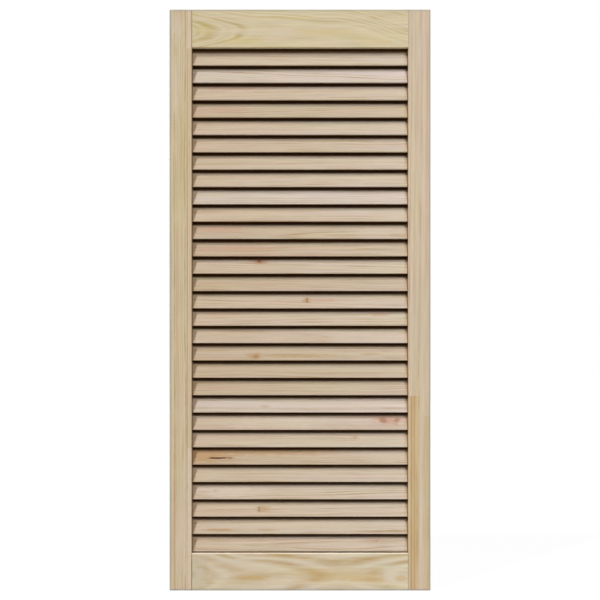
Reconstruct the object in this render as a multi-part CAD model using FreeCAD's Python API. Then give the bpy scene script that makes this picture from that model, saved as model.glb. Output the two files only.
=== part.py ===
import FreeCAD
import Part
import math
import os

# A louvred wardrobe door leaf in solid pine: two stiles, two rails, fixed slats and corner dowels.
# The door stands on its bottom edge with its front at -Y, its right side at +X and +Z up.
# The origin is under the middle of the door. Sizes are in millimetres.

# Door leaf
DOOR_HEIGHT = 1100.0
DOOR_WIDTH = 494.0
DOOR_THICKNESS = 21.0
OUTER_EDGE_RADIUS = 2.0  # round-over on the edges round the outside of the leaf
INNER_EDGE_RADIUS = 1.5  # round-over on the edges that face the slats
LIP_EDGE_RADIUS = 0.5  # easing on the lower edge of the top rail, which stays crisp

# Stiles and rails
STILE_WIDTH = 42.0
TOP_RAIL_HEIGHT = 72.0
BOTTOM_RAIL_HEIGHT = 71.0

# Slats
SLAT_THICKNESS = 5.0
SLAT_EDGE_RADIUS = 1.0  # easing on a slat's lower front and upper back edges, the sharp ones
SLAT_TILT = math.radians(18)  # lean of a slat from the upright, its lower edge to the front
SLAT_FRONT_SETBACK = 3.75  # from the door's front face to the slats
SLAT_BACK_SETBACK = 1.0  # from the slats to the door's back face
SLAT_LAP = 3.0  # least height by which a slat stands behind the slat above it
TOP_SLAT_LAP = 2.8  # height by which the top slat stands behind the top rail
BOTTOM_SLAT_GAP = 2.3  # air between the lowest slat and the bottom rail
REBATE_CLEARANCE = 0.5  # air between the top slat and the rebate in the top rail

# Housings in the stiles that hold the slat ends
HOUSING_DEPTH = 10.0
HOUSING_CLEARANCE = 0.15  # play all round the slat
SLAT_END_GAP = 0.3  # play between the slat's end and the housing's floor

# Dowels in the corner joints
DOWEL_DIAMETER = 8.0
DOWEL_IN_RAIL = 30.0  # length of dowel inside the rail
DOWEL_EDGE_WALL = 10.5  # wood left between a dowel hole's floor and the stile's outer edge
DOWEL_END_GAP = 1.5  # glue room at the floor of each dowel hole
DOWEL_CLEARANCE = 0.1  # radial play in the holes
DOWEL_MARGIN = 18.0  # from a rail's edge to the nearest dowel axis
DOWEL_CHAMFER = 1.0

# Places that follow from the sizes
BACK_Y = DOOR_THICKNESS / 2
FRONT_Y = -BACK_Y
INNER_X = DOOR_WIDTH / 2 - STILE_WIDTH
OPENING_BOTTOM = BOTTOM_RAIL_HEIGHT
OPENING_TOP = DOOR_HEIGHT - TOP_RAIL_HEIGHT
BOTTOM_DOWEL_HEIGHTS = [DOWEL_MARGIN, OPENING_BOTTOM - DOWEL_MARGIN]
TOP_DOWEL_HEIGHTS = [OPENING_TOP + DOWEL_MARGIN, DOOR_HEIGHT - DOWEL_MARGIN]

# Cutting tools start this far outside the wood
TOOL_RUN_OUT = DOOR_THICKNESS

# A slat's edges are cut level, and its height is what its lean leaves room for in the leaf's thickness
CORE_THICKNESS = SLAT_THICKNESS - 2 * SLAT_EDGE_RADIUS
CORE_DEPTH = DOOR_THICKNESS - SLAT_FRONT_SETBACK - SLAT_BACK_SETBACK - 2 * SLAT_EDGE_RADIUS
CORE_RISE = (CORE_DEPTH - CORE_THICKNESS / math.cos(SLAT_TILT)) / math.tan(SLAT_TILT)
SLAT_RISE = CORE_RISE + 2 * SLAT_EDGE_RADIUS
SLAT_CENTRE_Y = (SLAT_FRONT_SETBACK - SLAT_BACK_SETBACK) / 2

# The fewest slats that keep the lap, evenly spaced from behind the top rail to the bottom rail
SLAT_SPAN = OPENING_TOP + TOP_SLAT_LAP - OPENING_BOTTOM - BOTTOM_SLAT_GAP - SLAT_RISE
SLAT_COUNT = math.ceil(SLAT_SPAN / (SLAT_RISE - SLAT_LAP)) + 1
SLAT_PITCH = SLAT_SPAN / (SLAT_COUNT - 1)
TOP_SLAT_CENTRE = OPENING_TOP + TOP_SLAT_LAP - SLAT_RISE / 2
SLAT_CENTRES = [TOP_SLAT_CENTRE - SLAT_PITCH * number for number in range(SLAT_COUNT)]


def point_in_xy(x, y):
    return FreeCAD.Vector(x, y, 0)


def point_in_yz(y, z):
    return FreeCAD.Vector(0, y, z)


def rectangle(low, high, point):
    """Corners of a rectangle, in order round it from low."""
    return [point(*low), point(high[0], low[1]), point(*high), point(low[0], high[1])]


def corner_sides(corners):
    """Each corner of a polygon, the directions to its neighbours and half the angle between them."""
    sides = []
    for index, corner in enumerate(corners):
        back = (corners[index - 1] - corner).normalize()
        ahead = (corners[(index + 1) % len(corners)] - corner).normalize()
        sides.append((corner, back, ahead, back.getAngle(ahead) / 2))
    return sides


def rounded_face(corners, radii):
    """Face of a polygon with its own radius at each corner, or zero for a sharp one."""
    arcs = []
    for (corner, back, ahead, half_angle), radius in zip(corner_sides(corners), radii):
        run = radius / math.tan(half_angle)
        middle = (back + ahead).normalize() * (radius / math.sin(half_angle) - radius)
        arcs.append([corner + back * run, corner + middle, corner + ahead * run])
    edges = []
    for arc, next_arc, radius in zip(arcs, arcs[1:] + arcs[:1], radii):
        if radius > 0:
            edges.append(Part.Arc(*arc).toShape())
        edges.append(Part.LineSegment(arc[2], next_arc[0]).toShape())
    return Part.Face(Part.Wire(edges))


def flattened_face(corners, radii):
    """Face of a polygon with a flat at each corner that touches a round of its radius, or none for zero."""
    points = []
    for (corner, back, ahead, half_angle), radius in zip(corner_sides(corners), radii):
        leg = (radius / math.sin(half_angle) - radius) / math.cos(half_angle)
        points.append(corner + back * leg)
        if radius > 0:
            points.append(corner + ahead * leg)
    return Part.Face(Part.makePolygon(points + points[:1]))


def slat_corners(x, centre_z, play):
    """Corners of a slat's section in the plane at x, from the lower front, with play on every side."""
    half_rise = SLAT_RISE / 2 + play
    lean = half_rise * math.tan(SLAT_TILT)
    half_cut = (SLAT_THICKNESS / 2 + play) / math.cos(SLAT_TILT)
    lower_y = SLAT_CENTRE_Y - lean
    upper_y = SLAT_CENTRE_Y + lean
    return [
        FreeCAD.Vector(x, lower_y - half_cut, centre_z - half_rise),
        FreeCAD.Vector(x, lower_y + half_cut, centre_z - half_rise),
        FreeCAD.Vector(x, upper_y + half_cut, centre_z + half_rise),
        FreeCAD.Vector(x, upper_y - half_cut, centre_z + half_rise),
    ]


def slat(centre_z):
    """One slat, with both ends in the stiles' housings."""
    end_x = INNER_X + HOUSING_DEPTH - SLAT_END_GAP
    section = rounded_face(slat_corners(-end_x, centre_z, 0), (SLAT_EDGE_RADIUS, 0) * 2)
    return section.extrude(FreeCAD.Vector(2 * end_x, 0, 0))


def dowel_hole(side, depth, into_stile, z):
    """Blind dowel hole from the joint between rail and stile, into one of the two."""
    direction = side if into_stile else -side
    start = FreeCAD.Vector(side * INNER_X - direction * TOOL_RUN_OUT, 0, z)
    radius = DOWEL_DIAMETER / 2 + DOWEL_CLEARANCE
    return Part.makeCylinder(radius, depth + TOOL_RUN_OUT, start, FreeCAD.Vector(direction, 0, 0))


def stile(side):
    """Upright with its slat housings and dowel holes; side is -1 for the left and 1 for the right."""
    inner_x = side * INNER_X
    outer_x = side * DOOR_WIDTH / 2
    low_radius = OUTER_EDGE_RADIUS if side < 0 else INNER_EDGE_RADIUS
    high_radius = INNER_EDGE_RADIUS if side < 0 else OUTER_EDGE_RADIUS
    outline = rectangle(
        (min(inner_x, outer_x), FRONT_Y), (max(inner_x, outer_x), BACK_Y), point_in_xy
    )
    section = rounded_face(outline, (low_radius, high_radius, high_radius, low_radius))
    side_view = rectangle((FRONT_Y, 0), (BACK_Y, DOOR_HEIGHT), point_in_yz)
    length_view = rounded_face(side_view, (OUTER_EDGE_RADIUS,) * 4)
    upright = section.extrude(FreeCAD.Vector(0, 0, DOOR_HEIGHT))
    rounded_ends = length_view.extrude(FreeCAD.Vector(outer_x, 0, 0))
    blank = upright.common(rounded_ends)

    tool_start = inner_x - side * TOOL_RUN_OUT
    tool_length = side * (HOUSING_DEPTH + TOOL_RUN_OUT)
    housings = []
    for z in SLAT_CENTRES:
        corners = slat_corners(tool_start, z, HOUSING_CLEARANCE)
        slot = flattened_face(corners, (SLAT_EDGE_RADIUS + HOUSING_CLEARANCE, 0) * 2)
        housings.append(slot.extrude(FreeCAD.Vector(tool_length, 0, 0)))
    hole_depth = STILE_WIDTH - DOWEL_EDGE_WALL
    holes = [dowel_hole(side, hole_depth, True, z) for z in BOTTOM_DOWEL_HEIGHTS + TOP_DOWEL_HEIGHTS]
    return blank.cut(housings + holes)


def rail(bottom_z, top_z, bottom_radius, top_radius, hole_heights):
    """Cross member between the stiles, with dowel holes in both ends."""
    outline = rectangle((FRONT_Y, bottom_z), (BACK_Y, top_z), point_in_yz)
    section = rounded_face(outline, (bottom_radius, bottom_radius, top_radius, top_radius))
    section.translate(FreeCAD.Vector(-INNER_X, 0, 0))
    blank = section.extrude(FreeCAD.Vector(2 * INNER_X, 0, 0))
    hole_depth = DOWEL_IN_RAIL + DOWEL_END_GAP
    holes = [dowel_hole(side, hole_depth, False, z) for side in (-1, 1) for z in hole_heights]
    return blank.cut(holes)


def top_rail():
    """Upper rail, rebated along its lower back edge so that it laps the top slat from the front."""
    slat_middle_y = SLAT_CENTRE_Y + (OPENING_TOP - TOP_SLAT_CENTRE) * math.tan(SLAT_TILT)
    slat_front_y = slat_middle_y - SLAT_THICKNESS / 2 / math.cos(SLAT_TILT)
    wall_y = slat_front_y - REBATE_CLEARANCE
    rebate_height = TOP_SLAT_LAP + REBATE_CLEARANCE
    rebate = Part.makeBox(
        2 * (INNER_X + TOOL_RUN_OUT),
        BACK_Y - wall_y + TOOL_RUN_OUT,
        rebate_height + TOOL_RUN_OUT,
        FreeCAD.Vector(-INNER_X - TOOL_RUN_OUT, wall_y, OPENING_TOP - TOOL_RUN_OUT),
    )
    plain_rail = rail(
        OPENING_TOP, DOOR_HEIGHT, LIP_EDGE_RADIUS, OUTER_EDGE_RADIUS, TOP_DOWEL_HEIGHTS
    )
    return plain_rail.cut(rebate)


def bottom_rail():
    """Lower rail, whose upper edge stays plain under the lowest slat."""
    return rail(0, OPENING_BOTTOM, OUTER_EDGE_RADIUS, INNER_EDGE_RADIUS, BOTTOM_DOWEL_HEIGHTS)


def dowel(side, z):
    """Dowel with chamfered ends, across one joint between rail and stile."""
    in_stile = STILE_WIDTH - DOWEL_EDGE_WALL - DOWEL_END_GAP
    left_end = INNER_X - DOWEL_IN_RAIL if side > 0 else -INNER_X - in_stile
    start = FreeCAD.Vector(left_end, 0, z)
    length = DOWEL_IN_RAIL + in_stile
    pin = Part.makeCylinder(DOWEL_DIAMETER / 2, length, start, FreeCAD.Vector(1, 0, 0))
    rims = [edge for edge in pin.Edges if isinstance(edge.Curve, Part.Circle)]
    return pin.makeChamfer(DOWEL_CHAMFER, rims)


pieces = {
    "left_stile": stile(-1),
    "right_stile": stile(1),
    "top_rail": top_rail(),
    "bottom_rail": bottom_rail(),
}
for number, centre_z in enumerate(SLAT_CENTRES, start=1):
    pieces[f"slat_{number:02d}"] = slat(centre_z)
for level, heights in (("top", TOP_DOWEL_HEIGHTS), ("bottom", BOTTOM_DOWEL_HEIGHTS)):
    pins = [dowel(side, z) for side in (-1, 1) for z in heights]
    pieces[f"{level}_rail_dowels"] = Part.makeCompound(pins)

os.makedirs("parts", exist_ok=True)
for name, shape in pieces.items():
    assert shape.isValid(), name
    shape.exportStep(f"parts/{name}.step")

print(f"{SLAT_COUNT} slats at a pitch of {SLAT_PITCH:.3f}, each {SLAT_RISE:.2f} high")
print(f"slats lap by {SLAT_RISE - SLAT_PITCH:.2f}, {len(pieces)} pieces written")
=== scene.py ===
# %% [markdown]
# # A louvred wardrobe door in bare pine
# The door is a solid pine frame that holds a stack of fixed, slanting slats. Every shape on it is
# straight joinery with small round-overs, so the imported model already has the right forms. What is
# left for Blender is camera, light and wood: each board gets its own piece of a tree.

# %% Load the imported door
import math
import random

import bpy
from mathutils import Matrix, Vector


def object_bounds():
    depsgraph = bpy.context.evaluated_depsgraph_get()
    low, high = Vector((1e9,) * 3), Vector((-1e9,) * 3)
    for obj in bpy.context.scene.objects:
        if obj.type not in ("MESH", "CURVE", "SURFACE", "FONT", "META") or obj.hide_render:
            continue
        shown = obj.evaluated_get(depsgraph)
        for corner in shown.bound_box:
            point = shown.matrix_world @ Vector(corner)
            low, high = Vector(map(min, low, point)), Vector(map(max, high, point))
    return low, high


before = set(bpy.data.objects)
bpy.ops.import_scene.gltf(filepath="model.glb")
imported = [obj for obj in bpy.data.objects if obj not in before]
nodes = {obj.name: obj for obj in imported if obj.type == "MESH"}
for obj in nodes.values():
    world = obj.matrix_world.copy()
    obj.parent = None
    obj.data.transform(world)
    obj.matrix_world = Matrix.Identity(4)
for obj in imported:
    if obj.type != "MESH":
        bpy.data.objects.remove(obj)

MILLIMETRE = 0.001  # Blender counts in metres

cad_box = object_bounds()
door_low, door_high = Vector(cad_box[0]), Vector(cad_box[1])
door_size = door_high - door_low
print("door", [round(side / MILLIMETRE, 1) for side in door_size], "mm in", len(nodes), "nodes")

# %% [markdown]
# ## Helpers
# Colours are written as the sRGB hex values that a colour picker shows, and Cycles works in linear
# light, so one function converts them. Another function adds a node: a dictionary gives its inputs,
# each either a value to set or an output to link, and keywords give its own settings. A Mix node has
# separate sockets for each kind of data, so the ones for colours get names here.

# %% Helpers for colours, nodes and objects
SHARE, UNDER, OVER = 0, 6, 7
COLOUR_MIX = dict(output=2, data_type="RGBA")


def linear(hex_colour):
    """Linear RGBA of an sRGB hex value such as "#c8b594", by the sRGB standard's own formula."""
    channels = [int(hex_colour[start:start + 2], 16) / 255 for start in (1, 3, 5)]
    bent = [c / 12.92 if c <= 0.04045 else ((c + 0.055) / 1.055) ** 2.4 for c in channels]
    return (*bent, 1.0)


def add_node(tree, kind, inputs=None, output=0, **settings):
    """Adds one node, sets or links its inputs, and returns one of its outputs."""
    node = tree.nodes.new(kind)
    for name, value in settings.items():
        setattr(node, name, value)
    for key, value in (inputs or {}).items():
        if isinstance(value, bpy.types.NodeSocket):
            tree.links.new(value, node.inputs[key])
        else:
            node.inputs[key].default_value = value
    return node.outputs[output] if len(node.outputs) else node


def new_material(name):
    """An empty node material and its tree."""
    material = bpy.data.materials.new(name)
    material.use_nodes = True
    material.node_tree.nodes.clear()
    return material, material.node_tree


def add_object(name, data):
    """Puts a camera, a lamp or a mesh into the scene as an object."""
    thing = bpy.data.objects.new(name, data)
    bpy.context.scene.collection.objects.link(thing)
    return thing


WHITE = linear("#ffffff")
print("white is", WHITE)

# %% [markdown]
# ## Camera
# The door is seen square on, from the height of its middle, so its outline stays a rectangle and the
# camera needs no shift. The distance sets how much of the slats' undersides shows near the top. The
# lens then follows from how much of the picture's width the door fills.

# %% Camera
PICTURE_SIDE_PX = 600
DOOR_WIDTH_PX = 261.1
CAMERA_DISTANCE = 2.18  # metres from the door's front face
SENSOR_WIDTH_MM = 36

view_width = door_size.x * PICTURE_SIDE_PX / DOOR_WIDTH_PX
camera_data = bpy.data.cameras.new("camera")
camera_data.sensor_width = SENSOR_WIDTH_MM
camera_data.lens = SENSOR_WIDTH_MM * CAMERA_DISTANCE / view_width
camera = add_object("camera", camera_data)
camera.location = (0, door_low.y - CAMERA_DISTANCE, door_size.z / 2)
camera.rotation_euler = (math.radians(90), 0, 0)
bpy.context.scene.camera = camera
bpy.context.scene.view_settings.view_transform = "Standard"
print("lens", round(camera_data.lens, 1), "mm, view", round(view_width, 3), "m wide")

# %% [markdown]
# ## Lamps
# Shadows tell where the lamps stood. The strongest is high on the left and draws the slanting shadow
# of the left stile across the slat ends. That shadow is softer up and down than sideways, as a tall
# narrow strip light leaves it, so three small sun lamps stand one above the other. The lamp on the
# right is a soft ball at a real distance: its light falls more steeply at the foot of the door, so
# the shadows under the slats are deeper there. Two wide reflectors shine up from below, one on the
# undersides in front and one on the slats' backs.

# %% Lamps
SUN_LAMPS = {  # degrees to the right of the camera, degrees up, strength, degrees wide
    "key_strip_top": (-45.5, 55.0, 1.03, 5.0),
    "key_strip_middle": (-45.5, 48.5, 1.03, 5.0),
    "key_strip_foot": (-45.5, 42.0, 1.03, 5.0),
    "front_reflector": (0.0, -60.0, 0.7, 30.0),
    "rear_reflector": (180.0, -50.0, 1.0, 30.0),
}
SIDE_LAMP_PLACE = (3.4, -6.07, 6.15)  # metres
SIDE_LAMP_RADIUS = 0.62
SIDE_LAMP_WATTS = 1650

for name, (aside, up, strength, wide) in SUN_LAMPS.items():
    lamp = bpy.data.lights.new(name, "SUN")
    lamp.energy = strength
    lamp.angle = math.radians(wide)
    add_object(name, lamp).rotation_euler = (math.radians(90 - up), 0, math.radians(aside))

side_lamp = bpy.data.lights.new("side_lamp", "POINT")
side_lamp.energy = SIDE_LAMP_WATTS
side_lamp.shadow_soft_size = SIDE_LAMP_RADIUS
add_object("side_lamp", side_lamp).location = SIDE_LAMP_PLACE
print("lamps", list(SUN_LAMPS), "and one on the right")

# %% [markdown]
# ## Sky
# The camera sees a plain white sky. As a light it only fills the door's back, which the lamps in
# front leave dark. That fill goes only to faces that see the sky themselves, because light that
# creeps through the louvres would grey the gaps. A light path counts a ray's bounces, so one
# comparison does it.

# %% Sky
REAR_FILL = 0.9
FILL_EDGE = (-0.1, 0.2)  # how far back the sky starts to shine, and where it shines fully
ONE_BOUNCE = 1.5  # a ray with fewer bounces comes straight from the face that the camera sees


def shows_studio(tree):
    """1 on rays that show the studio itself: to the camera, in a gloss or through glass."""
    path = add_node(tree, "ShaderNodeLightPath").node
    shows = path.outputs["Is Camera Ray"]
    for ray in ("Is Glossy Ray", "Is Transmission Ray"):
        shows = add_node(tree, "ShaderNodeMath", {0: shows, 1: path.outputs[ray]}, operation="MAXIMUM")
    return shows


world = bpy.data.worlds.new("studio")
world.use_nodes = True
sky = world.node_tree
sky.nodes.clear()
direction = add_node(sky, "ShaderNodeTexCoord", output="Generated")
backwards = add_node(sky, "ShaderNodeSeparateXYZ", {0: direction}, output="Y")
edge = {"Value": backwards, "From Min": FILL_EDGE[0], "From Max": FILL_EDGE[1]}
behind = add_node(sky, "ShaderNodeMapRange", edge)
bounces = add_node(sky, "ShaderNodeLightPath", output="Diffuse Depth")
straight = add_node(sky, "ShaderNodeMath", {0: bounces, 1: ONE_BOUNCE}, operation="LESS_THAN")
fill = add_node(sky, "ShaderNodeMath", {0: straight, 1: REAR_FILL}, operation="MULTIPLY")
fill = add_node(sky, "ShaderNodeMath", {0: fill, 1: behind}, operation="MULTIPLY")
soft = add_node(sky, "ShaderNodeBackground", {"Color": WHITE, "Strength": fill})
plain = add_node(sky, "ShaderNodeBackground", {"Color": WHITE, "Strength": 1.0})
shown = add_node(sky, "ShaderNodeMixShader", {0: shows_studio(sky), 1: soft, 2: plain})
add_node(sky, "ShaderNodeOutputWorld", {"Surface": shown})
bpy.context.scene.world = world
print("sky fills the back with", REAR_FILL)

# %% [markdown]
# ## Floor
# The door stands on a pale studio floor. To the camera the floor glows almost white and keeps a faint
# shadow of the door. To light that bounces it is a mid grey, because a white floor would shine up
# into the gaps. It throws no shadow itself, so the reflectors' light comes up through it.

# %% Floor
FLOOR_SIDE = 8.0  # metres
FLOOR_GAP = 0.2 * MILLIMETRE  # keeps the floor clear of the door's bottom face
FLOOR_GLOW = 0.88
FLOOR_COLOUR = "#6a6a6a"  # enough to bring the lit floor up to white
BOUNCE_COLOUR = "#8c8a86"

half = FLOOR_SIDE / 2
floor_corners = [(-half, -half, 0), (half, -half, 0), (half, half, 0), (-half, half, 0)]
floor_mesh = bpy.data.meshes.new("floor")
floor_mesh.from_pydata(floor_corners, [], [(0, 1, 2, 3)])
floor = add_object("floor", floor_mesh)
floor.location.z = door_low.z - FLOOR_GAP
floor.visible_shadow = False
floor_material, tree = new_material("studio_floor")
lit = add_node(tree, "ShaderNodeBsdfDiffuse", {"Color": linear(FLOOR_COLOUR)})
glow = add_node(tree, "ShaderNodeEmission", {"Color": WHITE, "Strength": FLOOR_GLOW})
pale = add_node(tree, "ShaderNodeAddShader", {0: lit, 1: glow})
bounce = add_node(tree, "ShaderNodeBsdfDiffuse", {"Color": linear(BOUNCE_COLOUR)})
surface = add_node(tree, "ShaderNodeMixShader", {0: shows_studio(tree), 1: bounce, 2: pale})
add_node(tree, "ShaderNodeOutputMaterial", {"Surface": surface})
floor_mesh.materials.append(floor_material)
print("floor", FLOOR_SIDE, "m square")

# %% [markdown]
# ## Pine, grown rather than painted
# A pine board shows the year rings of its tree, cut along. A flat picture of wood would not fit at
# the ends and edges, so the material grows a tree and the board cuts it. Places inside a board are
# counted in millimetres from its middle: x along the grain, y across the face, z out of the front.
# Soft random patterns with lumps of a real size give what no rule gives.

# %% Places and random patterns in a board
SEED_STEPS = dict(patch=3, streak=7, fibre=13, fray=17)  # no two patterns of a board start alike
SOFT_DETAIL = 2.0
TINTED = 1  # the output of a random pattern that varies in colour


def board_place(tree, centre, turn):
    """Place inside a board in millimetres."""
    corner = add_node(tree, "ShaderNodeTexCoord", output="Object")
    axes = {"Vector": corner, "Location": centre, "Rotation": turn, "Scale": (MILLIMETRE,) * 3}
    return add_node(tree, "ShaderNodeMapping", axes, vector_type="TEXTURE")


def mottle(tree, place, lump_mm, seed, detail=SOFT_DETAIL, output=0):
    """A soft random pattern whose lumps have the given length, width and depth in millimetres."""
    per_lump = tuple(1 / size for size in lump_mm)
    grid = {0: place, 1: per_lump, 2: (seed,) * 3}
    moved = add_node(tree, "ShaderNodeVectorMath", grid, operation="MULTIPLY_ADD")
    lumps = {"Vector": moved, "Scale": 1.0, "Detail": detail}
    return add_node(tree, "ShaderNodeTexNoise", lumps, output=output)


def middle(node):
    """Middle of a node's box."""
    return (Vector(node.bound_box[0]) + Vector(node.bound_box[6])) / 2


print("random patterns start", SEED_STEPS, "past a board's seed")

# %% [markdown]
# ## The heart of the tree
# A heart line drifts past the board through a few stations, and the distance from it gives the rings.
# Where the heart runs close under the face, the cut rings make the pointed arches of a flat-sawn
# board. Where it is far off, they make straight stripes.

# %% Distance from the heart
ACROSS_THE_GRAIN = (0, 1, 1)


def heart_distance(tree, place, heart):
    """Distance in millimetres from a heart line through stations of (along, across, out)."""
    along = add_node(tree, "ShaderNodeSeparateXYZ", {0: place}, output="X")
    first = (0, heart[0][1], heart[0][2])
    offset = add_node(tree, "ShaderNodeVectorMath", {0: place, 1: first}, operation="SUBTRACT")
    for near, far in zip(heart, heart[1:]):
        change = (0, far[1] - near[1], far[2] - near[2])
        # The vector sockets of Map Range: the value, its two ends, and what it gives at each
        stretch = {6: along, 7: (near[0],) * 3, 8: (far[0],) * 3, 9: (0, 0, 0), 10: change}
        drift = add_node(tree, "ShaderNodeMapRange", stretch, output=1, data_type="FLOAT_VECTOR",
                         interpolation_type="SMOOTHSTEP")
        offset = add_node(tree, "ShaderNodeVectorMath", {0: offset, 1: drift}, operation="SUBTRACT")
    cross = add_node(tree, "ShaderNodeVectorMath", {0: offset, 1: ACROSS_THE_GRAIN}, operation="MULTIPLY")
    return add_node(tree, "ShaderNodeVectorMath", {0: cross}, output="Value", operation="LENGTH")


print("stations are given along the grain, across it and out of the face, in mm")

# %% [markdown]
# ## Year rings
# In each ring pale early wood darkens into late wood, which stops short at the winter line. No ring
# is quite round or as wide as the next one, and some years and some stretches show more than others.

# %% Year rings
WANDER_MM = 5.0  # how far a ring strays from round
STRAY_SIZE_MM = (220, 28, 28)
SWAY = 2.0  # rings by which the count runs ahead, more in some places than in others
SWAY_PER_RING = 0.4  # how fast that changes from ring to ring
DARKENING = 0.6  # share of a year in which the wood darkens
FAINTEST = 0.25  # how much the weakest years and stretches show
PATCH_SIZE_MM = (70, 12, 12)
PATCH_RANGE = (0.35, 0.65)  # most of a random pattern's values lie between these


def late_wood(tree, place, distance, ring_mm, peak, seed):
    """How much late wood a place has. The peak is the share of a year at which it is darkest."""
    stray = mottle(tree, place, STRAY_SIZE_MM, seed)
    radius = add_node(tree, "ShaderNodeMath", {0: stray, 1: WANDER_MM, 2: distance}, operation="MULTIPLY_ADD")
    years = add_node(tree, "ShaderNodeMath", {0: radius, 1: 1 / ring_mm, 2: seed}, operation="MULTIPLY_ADD")
    uneven = {"W": years, "Scale": SWAY_PER_RING, "Detail": 0.0}
    sway = add_node(tree, "ShaderNodeTexNoise", uneven, noise_dimensions="1D")
    years = add_node(tree, "ShaderNodeMath", {0: sway, 1: SWAY, 2: years}, operation="MULTIPLY_ADD")
    year = add_node(tree, "ShaderNodeMath", {0: years}, operation="FLOOR")
    season = add_node(tree, "ShaderNodeMath", {0: years}, operation="FRACT")
    summer = {"Value": season, "From Min": peak - DARKENING, "From Max": peak}
    line = add_node(tree, "ShaderNodeMapRange", summer, interpolation_type="SMOOTHSTEP")
    autumn = {"Value": season, "From Min": peak, "To Min": 1.0, "To Max": 0.0}
    winter = add_node(tree, "ShaderNodeMapRange", autumn)
    luck = add_node(tree, "ShaderNodeTexWhiteNoise", {"W": year}, noise_dimensions="1D")
    strength = add_node(tree, "ShaderNodeMapRange", {"Value": luck, "To Min": FAINTEST})
    patch = mottle(tree, place, PATCH_SIZE_MM, seed + SEED_STEPS["patch"])
    spread = {"Value": patch, "From Min": PATCH_RANGE[0], "From Max": PATCH_RANGE[1], "To Min": FAINTEST}
    showing = add_node(tree, "ShaderNodeMapRange", spread)
    for part in (winter, strength, showing):
        line = add_node(tree, "ShaderNodeMath", {0: line, 1: part}, operation="MULTIPLY")
    return line


print("rings stray", WANDER_MM, "mm from round")

# %% [markdown]
# ## Colour of the wood
# Early wood changes a little from one end of a board to the other, and the late wood draws its lines
# on that. Long bands are pinker or yellower, as heartwood and sapwood are, and fine fibres run
# through it all.

# %% Colour of the wood
STREAK_SIZE_MM = (190, 7, 7)
STREAK_DETAIL = 3.0
STREAK_TINT = (0.12, 0.17, 0.28)  # the bands differ most in blue
FIBRE_SIZE_MM = (70, 2.4, 2.4)  # real fibres are finer than a pixel: these are as coarse as it takes to show
FIBRE_SHADE = 0.15


def wood_colour(tree, place, line, fibre, reach, early, late, seed):
    """Colour of clear wood: two tones of early wood, one of late wood, bands and fibres."""
    along = add_node(tree, "ShaderNodeSeparateXYZ", {0: place}, output="X")
    ends = {"Value": along, "From Min": -reach, "From Max": reach}
    share = add_node(tree, "ShaderNodeMapRange", ends)
    tones = {SHARE: share, UNDER: linear(early[0]), OVER: linear(early[1])}
    tone = add_node(tree, "ShaderNodeMix", tones, **COLOUR_MIX)
    colour = add_node(tree, "ShaderNodeMix", {SHARE: line, UNDER: tone, OVER: linear(late)}, **COLOUR_MIX)
    streak = mottle(tree, place, STREAK_SIZE_MM, seed + SEED_STEPS["streak"], STREAK_DETAIL, TINTED)
    base = tuple(1 - tint / 2 for tint in STREAK_TINT)
    bands = {0: streak, 1: STREAK_TINT, 2: base}
    tint = add_node(tree, "ShaderNodeVectorMath", bands, operation="MULTIPLY_ADD")
    colour = add_node(tree, "ShaderNodeVectorMath", {0: colour, 1: tint}, operation="MULTIPLY")
    shades = {"Value": fibre, "To Min": 1 - FIBRE_SHADE, "To Max": 1 + FIBRE_SHADE}
    shade = add_node(tree, "ShaderNodeMapRange", shades)
    return add_node(tree, "ShaderNodeVectorMath", {0: colour, "Scale": shade}, operation="SCALE")


print("bands", STREAK_SIZE_MM, "mm, fibres", FIBRE_SIZE_MM, "mm")

# %% [markdown]
# ## Knots, streaks and stains
# What a board has of its own is placed one by one: knots, a resin pocket, pink or yellow streaks, glue
# lines. Each one is an oval with a frayed edge, usually long along the grain. An oval much longer
# than the board makes a line.

# %% Knots, streaks and stains
FRAY_SIZE_MM = (16, 3.5, 3.5)
FRAY = 1.2  # how far the random pattern moves an oval's edge, in half widths
OVAL_EDGE = (0.8, 1.6)  # where an oval starts to fade, and where it ends


def add_marks(tree, place, colour, marks, seed):
    """Lays ovals over a colour."""
    fray = mottle(tree, place, FRAY_SIZE_MM, seed + SEED_STEPS["fray"])
    for x, y, half_length, half_width, hex_colour, cover in marks:
        shifted = add_node(tree, "ShaderNodeVectorMath", {0: place, 1: (x, y, 0)}, operation="SUBTRACT")
        oval = (1 / half_length, 1 / half_width, 0)
        scaled = add_node(tree, "ShaderNodeVectorMath", {0: shifted, 1: oval}, operation="MULTIPLY")
        away = add_node(tree, "ShaderNodeVectorMath", {0: scaled}, output="Value", operation="LENGTH")
        frayed = add_node(tree, "ShaderNodeMath", {0: fray, 1: FRAY, 2: away}, operation="MULTIPLY_ADD")
        fade = {"Value": frayed, "From Min": OVAL_EDGE[0], "From Max": OVAL_EDGE[1],
                "To Min": cover, "To Max": 0.0}
        mask = add_node(tree, "ShaderNodeMapRange", fade, interpolation_type="SMOOTHSTEP")
        painted = {SHARE: mask, UNDER: colour, OVER: linear(hex_colour)}
        colour = add_node(tree, "ShaderNodeMix", painted, **COLOUR_MIX)
    return colour


print("ovals fray over", FRAY_SIZE_MM, "mm")

# %% [markdown]
# ## Strips between finger joints
# The stiles are glued up from shorter lengths. A strip of another tree stops dead at a finger joint,
# which a frayed oval can't do, so strips have straight ends and sides. A strip multiplies the colour
# under it, so the grain runs on.

# %% Strips between finger joints
STRIP_BLUR_MM = 1.0


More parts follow.
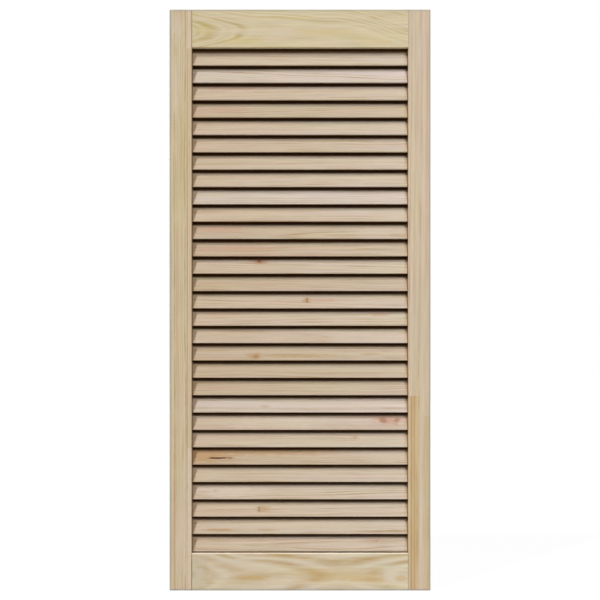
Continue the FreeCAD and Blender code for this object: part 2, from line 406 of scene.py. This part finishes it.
def add_strips(tree, place, colour, strips):
    """Tints straight strips of a board, each from one place to another along it."""
    sides = add_node(tree, "ShaderNodeSeparateXYZ", {0: place}).node
    along, across = sides.outputs["X"], sides.outputs["Y"]
    for start, end, low, high, hex_colour in strips:
        length = {0: along, 1: (start + end) / 2, 2: (end - start) / 2}
        mask = add_node(tree, "ShaderNodeMath", length, operation="COMPARE")
        rise = {"Value": across, "From Min": low, "From Max": low + STRIP_BLUR_MM}
        fall = {"Value": across, "From Min": high - STRIP_BLUR_MM, "From Max": high,
                "To Min": 1.0, "To Max": 0.0}
        for blur in (rise, fall):
            blurred = add_node(tree, "ShaderNodeMapRange", blur)
            mask = add_node(tree, "ShaderNodeMath", {0: mask, 1: blurred}, operation="MULTIPLY")
        tinted = {SHARE: mask, UNDER: colour, OVER: linear(hex_colour)}
        colour = add_node(tree, "ShaderNodeMix", tinted, blend_type="MULTIPLY", **COLOUR_MIX)
    return colour


print("strips blur over", STRIP_BLUR_MM, "mm")

# %% [markdown]
# ## Dark gaps
# The gaps between the slats are almost black, darker than these lamps alone make them. So shade
# is painted into the wood of a slat where it goes up behind the slat above, and into the corners at
# its housings. Raw, dusty wood could look like that, but it is a guess. Towards its ends a slat is
# also tinted a little warmer: painted light, the warm light that bounces off the pine around it.

# %% Dark gaps
# Painted shade behind the next slat and at the housings, and painted warm bounce light near the ends
UNSHADED_TO_MM = 6.1  # up a slat, from its middle
GAP_FADE_MM = 5.2
GAP_COVER = 0.98
FRONT_MM = 1.0  # only the front of a slat lies further out than this from its middle
GAP_SHADE = "#4e2c0a"
CORNER_MM = (2.6, 0.8)  # from the housing: where the corner starts to darken, and where it is darkest
CORNER_COVER = 0.65
# painted light: a warm tint near the housings for light bounced off the pine
WARM_MM = (9.0, 5.0)  # from the housing: where the warmth starts, and where it is full
WARM_COVER = 0.22
WARM_BOUNCE_LIGHT = "#a56f10"


def paint_gap_shade(tree, place, colour, mouth_mm):
    """Paints shade on a slat behind the next one and in the corners at its housings, and warm bounce
    light near them. The housings open at mouth_mm from its middle.
    """
    sides = add_node(tree, "ShaderNodeSeparateXYZ", {0: place}).node
    aside = add_node(tree, "ShaderNodeMath", {0: sides.outputs["X"]}, operation="ABSOLUTE")
    # painted light: warm bounce light near the housings
    warmth = {"Value": aside, "From Min": mouth_mm - WARM_MM[0], "From Max": mouth_mm - WARM_MM[1],
              "To Max": WARM_COVER}
    warm = add_node(tree, "ShaderNodeMapRange", warmth)
    tinted = {SHARE: warm, UNDER: colour, OVER: linear(WARM_BOUNCE_LIGHT)}
    colour = add_node(tree, "ShaderNodeMix", tinted, **COLOUR_MIX)
    # painted shade in the corners at the housings
    corner_shade = {"Value": aside, "From Min": mouth_mm - CORNER_MM[0], "From Max": mouth_mm - CORNER_MM[1],
            "To Max": CORNER_COVER}
    corner = add_node(tree, "ShaderNodeMapRange", corner_shade)
    # painted shade where the slat goes up behind the next one, on its front only
    dark_from = UNSHADED_TO_MM + GAP_FADE_MM
    upwards = {"Value": sides.outputs["Y"], "From Min": UNSHADED_TO_MM, "From Max": dark_from,
               "To Max": GAP_COVER}
    dark = add_node(tree, "ShaderNodeMapRange", upwards, interpolation_type="SMOOTHSTEP")
    front = add_node(tree, "ShaderNodeMath", {0: sides.outputs["Z"], 1: FRONT_MM}, operation="GREATER_THAN")
    dark = add_node(tree, "ShaderNodeMath", {0: dark, 1: front}, operation="MULTIPLY")
    dark = add_node(tree, "ShaderNodeMath", {0: corner, 1: dark}, operation="MAXIMUM")
    darkened = {SHARE: dark, UNDER: colour, OVER: linear(GAP_SHADE)}
    return add_node(tree, "ShaderNodeMix", darkened, **COLOUR_MIX)


# the painted gap shade starts this far up a slat
print("slats are clean up to", UNSHADED_TO_MM, "mm above their middle")

# %% [markdown]
# ## Grey edges
# Round the outside of the leaf the edges are painted greyer and darker than the faces: painted shade,
# as the round-overs turn from the lamps. A board's own place doesn't tell where the door ends, so here
# it is measured from the whole door's box.

# %% Grey edges
RIM_MM = (1.5, 5.5)  # greyed fully up to the first distance from an outer edge, and fading to the second
RIM_COVER = 0.6
RIM_SHADE_GREY = "#a3a099"


def paint_rim_shade(tree, colour):
    """Paints grey shade on a frame board along the door's outer edges, front and back."""
    corner = add_node(tree, "ShaderNodeTexCoord", output="Object")
    door_middle = (door_low + door_high) / 2
    centred = add_node(tree, "ShaderNodeVectorMath", {0: corner, 1: door_middle}, operation="SUBTRACT")
    away = add_node(tree, "ShaderNodeVectorMath", {0: centred}, operation="ABSOLUTE")
    inside = add_node(tree, "ShaderNodeVectorMath", {0: door_size / 2, 1: away}, operation="SUBTRACT")
    depth = add_node(tree, "ShaderNodeSeparateXYZ", {0: inside}).node.outputs
    rim = add_node(tree, "ShaderNodeMath", {0: depth["X"], 1: depth["Z"]}, operation="MINIMUM")
    rim = add_node(tree, "ShaderNodeMath", {0: rim, 1: depth["Y"]}, operation="MAXIMUM")
    near, far = (distance * MILLIMETRE for distance in RIM_MM)
    fade = {"Value": rim, "From Min": near, "From Max": far, "To Min": RIM_COVER, "To Max": 0.0}
    # painted shade along the outer edges
    rim_shade = add_node(tree, "ShaderNodeMapRange", fade)
    return add_node(tree, "ShaderNodeMix", {SHARE: rim_shade, UNDER: colour, OVER: linear(RIM_SHADE_GREY)}, **COLOUR_MIX)


print("edges are greyed over", RIM_MM[1], "mm")

# %% [markdown]
# ## Sanded bare pine
# The boards are planed, sanded and left without oil or paint. To the eye that is a matt surface: open
# fibres scatter the light, leave only a trace of gloss, and make it a little rougher from one line to
# the next. One function puts the layers together and dresses a board in them.

# %% Sanded bare pine
PINE_IOR = 1.45
BARE_SHEEN = 0.05  # open fibres break up most of the gloss that the IOR would give
PINE_ROUGHNESS = (0.60, 0.76)
FIBRE_RELIEF = 0.25
FIBRE_HEIGHT = 0.4 * MILLIMETRE
THIN_LINES = 0.85  # late wood that peaks this late in the year is a thin line


def dress(name, material):
    """Gives a node its one material."""
    nodes[name].data.materials.clear()
    nodes[name].data.materials.append(material)


def dress_in_pine(name, turn, heart, ring_mm, early, late, seed,
                  peak=THIN_LINES, marks=(), strips=(), mouth_mm=None):
    """Dresses a board in its own piece of a tree. Only a slat has housings, which open at mouth_mm."""
    material, tree = new_material(name + "_sanded_pine")
    place = board_place(tree, middle(nodes[name]), turn)
    line = late_wood(tree, place, heart_distance(tree, place, heart), ring_mm, peak, seed)
    fibre = mottle(tree, place, FIBRE_SIZE_MM, seed + SEED_STEPS["fibre"])
    reach = max(abs(heart[0][0]), abs(heart[-1][0]))
    colour = wood_colour(tree, place, line, fibre, reach, early, late, seed)
    colour = add_marks(tree, place, colour, marks, seed)
    colour = add_strips(tree, place, colour, strips)
    # slats get painted gap shade, frame boards painted shade along the door's outer edges
    colour = paint_gap_shade(tree, place, colour, mouth_mm) if mouth_mm else paint_rim_shade(tree, colour)
    lines = {"Value": fibre, "To Min": PINE_ROUGHNESS[0], "To Max": PINE_ROUGHNESS[1]}
    rough = add_node(tree, "ShaderNodeMapRange", lines)
    relief = {"Height": fibre, "Strength": FIBRE_RELIEF, "Distance": FIBRE_HEIGHT}
    bump = add_node(tree, "ShaderNodeBump", relief)
    surface = {"Base Color": colour, "Roughness": rough, "Normal": bump, "IOR": PINE_IOR,
               "Specular IOR Level": BARE_SHEEN}
    shader = add_node(tree, "ShaderNodeBsdfPrincipled", surface)
    add_node(tree, "ShaderNodeOutputMaterial", {"Surface": shader})
    dress(name, material)


print("bare pine: roughness", PINE_ROUGHNESS)

# %% [markdown]
# ## Stiles
# The stiles are straight-grained: the heart lies far off to one side, so the rings cross the face as
# narrow stripes. Both are glued up from lengths with finger joints. In the left one the inner strip is
# yellower between two joints. In the right one the strips below the joints are yellower, and the inner
# of them is more striped.

# %% Stiles
STILE_TURN = Matrix(((0, -1, 0), (0, 0, -1), (1, 0, 0))).to_euler()  # grain up, front stays front
STILE_REACH_MM = 560  # a little past a stile's ends
LEFT_JOINTS_MM = (-280, 476)  # up from a stile's middle
RIGHT_INNER_JOINT_MM = -181.5
RIGHT_OUTER_JOINT_MM = -220
# marks: along, across, half length, half width, colour, cover. strips: from, to, low, high, tint. All in mm.
STILES = {
    "left_stile": dict(
        heart=[(-STILE_REACH_MM, -62, -30), (STILE_REACH_MM, -58, -34)],
        ring_mm=3.2,
        early=("#ccbb9c", "#ccbb9a"),
        late="#9a7a49",
        seed=3.0,
        marks=[
            (520, 8, 42, 17, "#d4c5b4", 0.5),
            (270, -6, 150, 11, "#bcaa7c", 0.4),
            (-430, -4, 150, 24, "#d1bda9", 0.5),
            (410, 10, 90, 12, "#d3c6b2", 0.45),
            (-215, -5, 70, 7, "#d0c0a6", 0.4),
            (0, -16.5, 1200, 9, "#e3cdc2", 0.45),
            (560, -1, 60, 5, "#c9a189", 0.6),
            (-20, 7, 320, 4, "#c4a585", 0.45),
            (0, -12.5, 900, 1.2, "#a08658", 0.7),
            (0, 21, 900, 4, "#bfb9a2", 0.4),
            (-420, 12, 260, 3, "#c0926a", 0.6),
        ],
        strips=[(*LEFT_JOINTS_MM, -22, -11, "#f6f3e7")],
    ),
    "right_stile": dict(
        heart=[(-STILE_REACH_MM, 66, -34), (STILE_REACH_MM, 60, -30)],
        ring_mm=3.4,
        early=("#cebda4", "#cdbca6"),
        late="#b8966c",
        seed=11.0,
        marks=[
            (480, -8, 110, 6, "#cbb5ac", 0.5),
            (330, -14, 330, 2, "#c9a184", 0.6),
            (-200, -2, 300, 3, "#c2bda0", 0.4),
        ],
        strips=[
            (-STILE_REACH_MM, RIGHT_INNER_JOINT_MM, -1, 22, "#fbf5e8"),
            (-STILE_REACH_MM, RIGHT_INNER_JOINT_MM, 7.5, 11.5, "#f0e3ca"),
            (-STILE_REACH_MM, RIGHT_INNER_JOINT_MM, 13.5, 17.5, "#f0e3ca"),
            (-STILE_REACH_MM, RIGHT_OUTER_JOINT_MM, -22, -8.5, "#f9f6e9"),
        ],
    ),
}
for name, look in STILES.items():
    dress_in_pine(name, STILE_TURN, **look)
print(list(STILES), "in straight-grained pine")

# %% [markdown]
# ## Rails
# Both rails are flat-sawn. In the top rail the heart rises towards the left end, where the rings make
# pointed arches, and moves off below the right end, where the lines sweep down. In the bottom rail it
# lies deep and the rings are wide, so the arches are blunt and yellow late wood spreads into patches.
# Along its edge under the lowest slat a pale line is a painted highlight, and the dark line behind
# it is painted shade.

# %% Rails
RAIL_TURN = (math.radians(90), 0, 0)
GLUE_LINE = "#7d6846"  # the joint with a stile
rail_end_mm = nodes["top_rail"].dimensions.x / 2 / MILLIMETRE
RAILS = {
    "top_rail": dict(
        heart=[(-330, -5, -12), (-60, -7, -39), (60, -14, -40), (260, -62, -38)],
        ring_mm=3.8,
        peak=0.52,
        early=("#d0c2a2", "#d3c5a7"),
        late="#ae9852",
        seed=5.0,
        marks=[
            (-40, -8, 60, 20, "#d2c2a8", 0.7),
            (-185, -4, 30, 16, "#cbb97c", 0.45),
            (-108, -24, 50, 11, "#cbb97c", 0.5),
            (40, -8, 70, 9, "#d0ba84", 0.45),
            (140, -26, 55, 10, "#d3b98a", 0.45),
            (-rail_end_mm, 0, 1.6, 90, GLUE_LINE, 0.6),
        ],
    ),
    "bottom_rail": dict(
        heart=[(-240, -11, -51), (-90, -11, -67), (75, -9, -75), (260, -8, -66)],
        ring_mm=7.5,
        peak=0.6,
        early=("#cec0a8", "#d4c9b1"),
        late="#ac8a4d",
        seed=17.0,
        marks=[
            (-204, -4, 46, 40, "#aa9b74", 0.6),
            (-208, -5, 36, 32, "#cdc2ad", 0.85),
            (-208, -5, 16, 15, "#aa9b74", 0.5),
            (62, -5, 160, 19, "#c7a870", 0.42),
            (-92, -11, 52, 6, "#c4a267", 0.7),
            (120, -13, 70, 10, "#c7a870", 0.4),
            (172, -4, 20, 18, "#d3c8b4", 0.7),
            (192, -12, 16, 9, "#c7a970", 0.5),
            (-rail_end_mm, 0, 1.6, 90, GLUE_LINE, 0.8),
            (rail_end_mm, 0, 1.6, 90, GLUE_LINE, 0.4),
            # painted highlight on the rounded top edge
            (0, 34.6, 900, 1.5, "#f0e4cc", 0.65),
            # painted shade on the top face behind the lowest slat
            (0, 35.75, 900, 0.5, GAP_SHADE, 0.8),
        ],
    ),
}
for name, look in RAILS.items():
    dress_in_pine(name, RAIL_TURN, **look)
print(list(RAILS), "in flat-sawn pine, ends at", round(rail_end_mm, 1), "mm")

# %% [markdown]
# ## Slats
# Every slat is its own strip, so each gets a seeded tree, and one of three tones that the real slats
# show. They lean into the light and look brighter than the frame, so their wood is written a little
# darker. Small knots, a resin pocket and pink, amber or paler streaks are placed one by one.

# %% Tones and marks of the slats
TONES = {"plain": ("#bdaa94", "#c2b4a2"), "pale": ("#c1b3a4", "#c7baae"), "warm": ("#b6a38a", "#bdad99")}
PALE_SLATS = (2, 9, 21)
WARM_SLATS = (4, 11, 12, 14, 18, 19, 20, 24)
KNOT, PINK, AMBER, ROSE, RESIN = "#7a5436", "#ba9783", "#aa8757", "#996d52", "#4e2c12"
SLAT_MARKS = {  # by the slat's number from the top, in the same columns as before
    3: [(-120, 4, 80, 5, PINK, 0.7)],
    4: [(-140, -2, 70, 9, PINK, 0.6)],
    6: [(0, -5, 230, 18, "#b5a184", 0.35)],
    11: [(-150, 0, 70, 10, PINK, 0.7), (150, -5, 80, 16, "#c6b8a6", 0.5)],
    12: [(-120, -4, 110, 10, PINK, 0.7)],
    13: [(-77.5, 5, 26, 7, "#ab7b61", 0.8), (-77.5, 5, 6, 4, KNOT, 0.8)],
    15: [(40, -3, 50, 5, PINK, 0.7), (13.3, -4.2, 12, 8, AMBER, 0.6), (13.3, -4.2, 3, 6, KNOT, 0.7)],
    16: [(152, 2, 26, 6, PINK, 0.6), (-150, 3, 60, 4, PINK, 0.4)],
    17: [(-130, -5, 90, 18, "#b09c82", 0.35)],
    18: [(0, -10, 100, 6, AMBER, 0.5), (-86, -11, 22, 8, AMBER, 0.65), (-83.2, -12, 7, 6, KNOT, 0.35),
         (132, -7, 26, 3, AMBER, 0.5)],
    20: [(-160, -6, 38, 4, PINK, 0.7)],
    21: [(-66, -8, 14, 5, AMBER, 0.35), (15, 8, 40, 3, "#b3a27c", 0.5)],
    22: [(-40, -5, 140, 16, "#cabcaa", 0.45), (170, -1, 44, 13, PINK, 0.9), (157.3, -1.3, 11, 8, ROSE, 0.7),
         (183.8, -1.3, 8, 7, ROSE, 0.6)],
    23: [(104.2, -0.6, 14, 8, AMBER, 0.32), (104.2, -0.6, 3.5, 6, KNOT, 0.2)],
    24: [(-175, -2, 76, 18, "#af8559", 0.65), (-60, 4, 190, 9, "#b48e66", 0.65),
         (-152, -6.9, 30, 3, RESIN, 1.0), (165, -5, 60, 16, "#c4b5a2", 0.5)],
    26: [(-130, -5, 100, 16, "#cbbfae", 0.5), (-160.8, -2.5, 12, 6, PINK, 0.25),
         (-160.8, -2.5, 4, 4, KNOT, 0.15)],
    27: [(-70, -4, 22, 8, AMBER, 0.6), (-77.5, -5.7, 4, 7, KNOT, 0.6)],
    28: [(0, -5, 230, 18, "#c4b8a0", 0.35), (-152, -12, 50, 4, AMBER, 0.7), (-62, -12, 30, 4, AMBER, 0.4)],
    29: [(146, 0.5, 24, 7, PINK, 0.5), (146, 0.5, 5, 4, KNOT, 0.22)],
}
print(sum(len(marks) for marks in SLAT_MARKS.values()), "marks on", len(SLAT_MARKS), "slats")

# %% [markdown]
# ## A tree for each slat
# The slats were sawn from many boards, so nothing is the same on two of them. Each draws the place of
# its heart from one seeded source, which gives the same door on every run.

# %% Slats
SLAT_LEAN = math.radians(18)
SLAT_TURN = (math.radians(90) - SLAT_LEAN, 0, 0)
SLAT_LATE = "#a48a68"
SLAT_RING_MM = 3.4
SLAT_SEED = 20.0
SLAT_REACH_MM = 215  # just past a slat's ends
HEART_ASIDE_MM = (4, 40)
HEART_DEPTH_MM = (-45, -14)
DRIFT_ASIDE_MM = (-9, 9)
DRIFT_DEPTH_MM = (-5, 5)

chance = random.Random(29)
slats = sorted(name for name in nodes if name.startswith("slat_"))
for number, name in enumerate(slats, start=1):
    tone = "pale" if number in PALE_SLATS else "warm" if number in WARM_SLATS else "plain"
    aside = chance.choice((-1, 1)) * chance.uniform(*HEART_ASIDE_MM)
    depth = chance.uniform(*HEART_DEPTH_MM)
    far_aside = aside + chance.uniform(*DRIFT_ASIDE_MM)
    far_depth = depth + chance.uniform(*DRIFT_DEPTH_MM)
    heart = [(-SLAT_REACH_MM, aside, depth), (SLAT_REACH_MM, far_aside, far_depth)]
    dress_in_pine(name, SLAT_TURN, heart, SLAT_RING_MM, TONES[tone], SLAT_LATE, SLAT_SEED + number,
                  marks=SLAT_MARKS.get(number, ()), mouth_mm=rail_end_mm)
print(len(slats), "slats, each from its own tree")

# %% [markdown]
# ## Dowels
# The dowels are turned beech, denser and pinker than pine. The lathe leaves close, smooth wood, so the
# eye gets a soft even sheen and short dark flecks in place of rings. They sit inside the joints and
# show only when the door is taken apart.

# %% Dowels
BEECH = "#cfa888"
BEECH_FLECK = "#a97f60"
FLECK_SIZE_MM = (3.0, 0.8, 0.8)  # real flecks are thinner: these are as thick as it takes to show
FLECK_RANGE = (0.55, 0.75)  # the top of the random pattern, so that flecks are few
FLECK_SEED = 2.0
FLECK_DETAIL = 1.0
BEECH_ROUGHNESS = (0.5, 0.65)
BEECH_IOR = 1.5
DOWELS = ("top_rail_dowels", "bottom_rail_dowels")

beech, tree = new_material("turned_beech")
place = board_place(tree, (0, 0, 0), (0, 0, 0))
fleck = mottle(tree, place, FLECK_SIZE_MM, FLECK_SEED, FLECK_DETAIL)
spots = {"Value": fleck, "From Min": FLECK_RANGE[0], "From Max": FLECK_RANGE[1]}
spot = add_node(tree, "ShaderNodeMapRange", spots)
tones = {SHARE: spot, UNDER: linear(BEECH), OVER: linear(BEECH_FLECK)}
colour = add_node(tree, "ShaderNodeMix", tones, **COLOUR_MIX)
sheen = {"Value": fleck, "To Min": BEECH_ROUGHNESS[0], "To Max": BEECH_ROUGHNESS[1]}
rough = add_node(tree, "ShaderNodeMapRange", sheen)
surface = {"Base Color": colour, "Roughness": rough, "IOR": BEECH_IOR}
shader = add_node(tree, "ShaderNodeBsdfPrincipled", surface)
add_node(tree, "ShaderNodeOutputMaterial", {"Surface": shader})
for name in DOWELS:
    dress(name, beech)
print(DOWELS, "in turned beech")
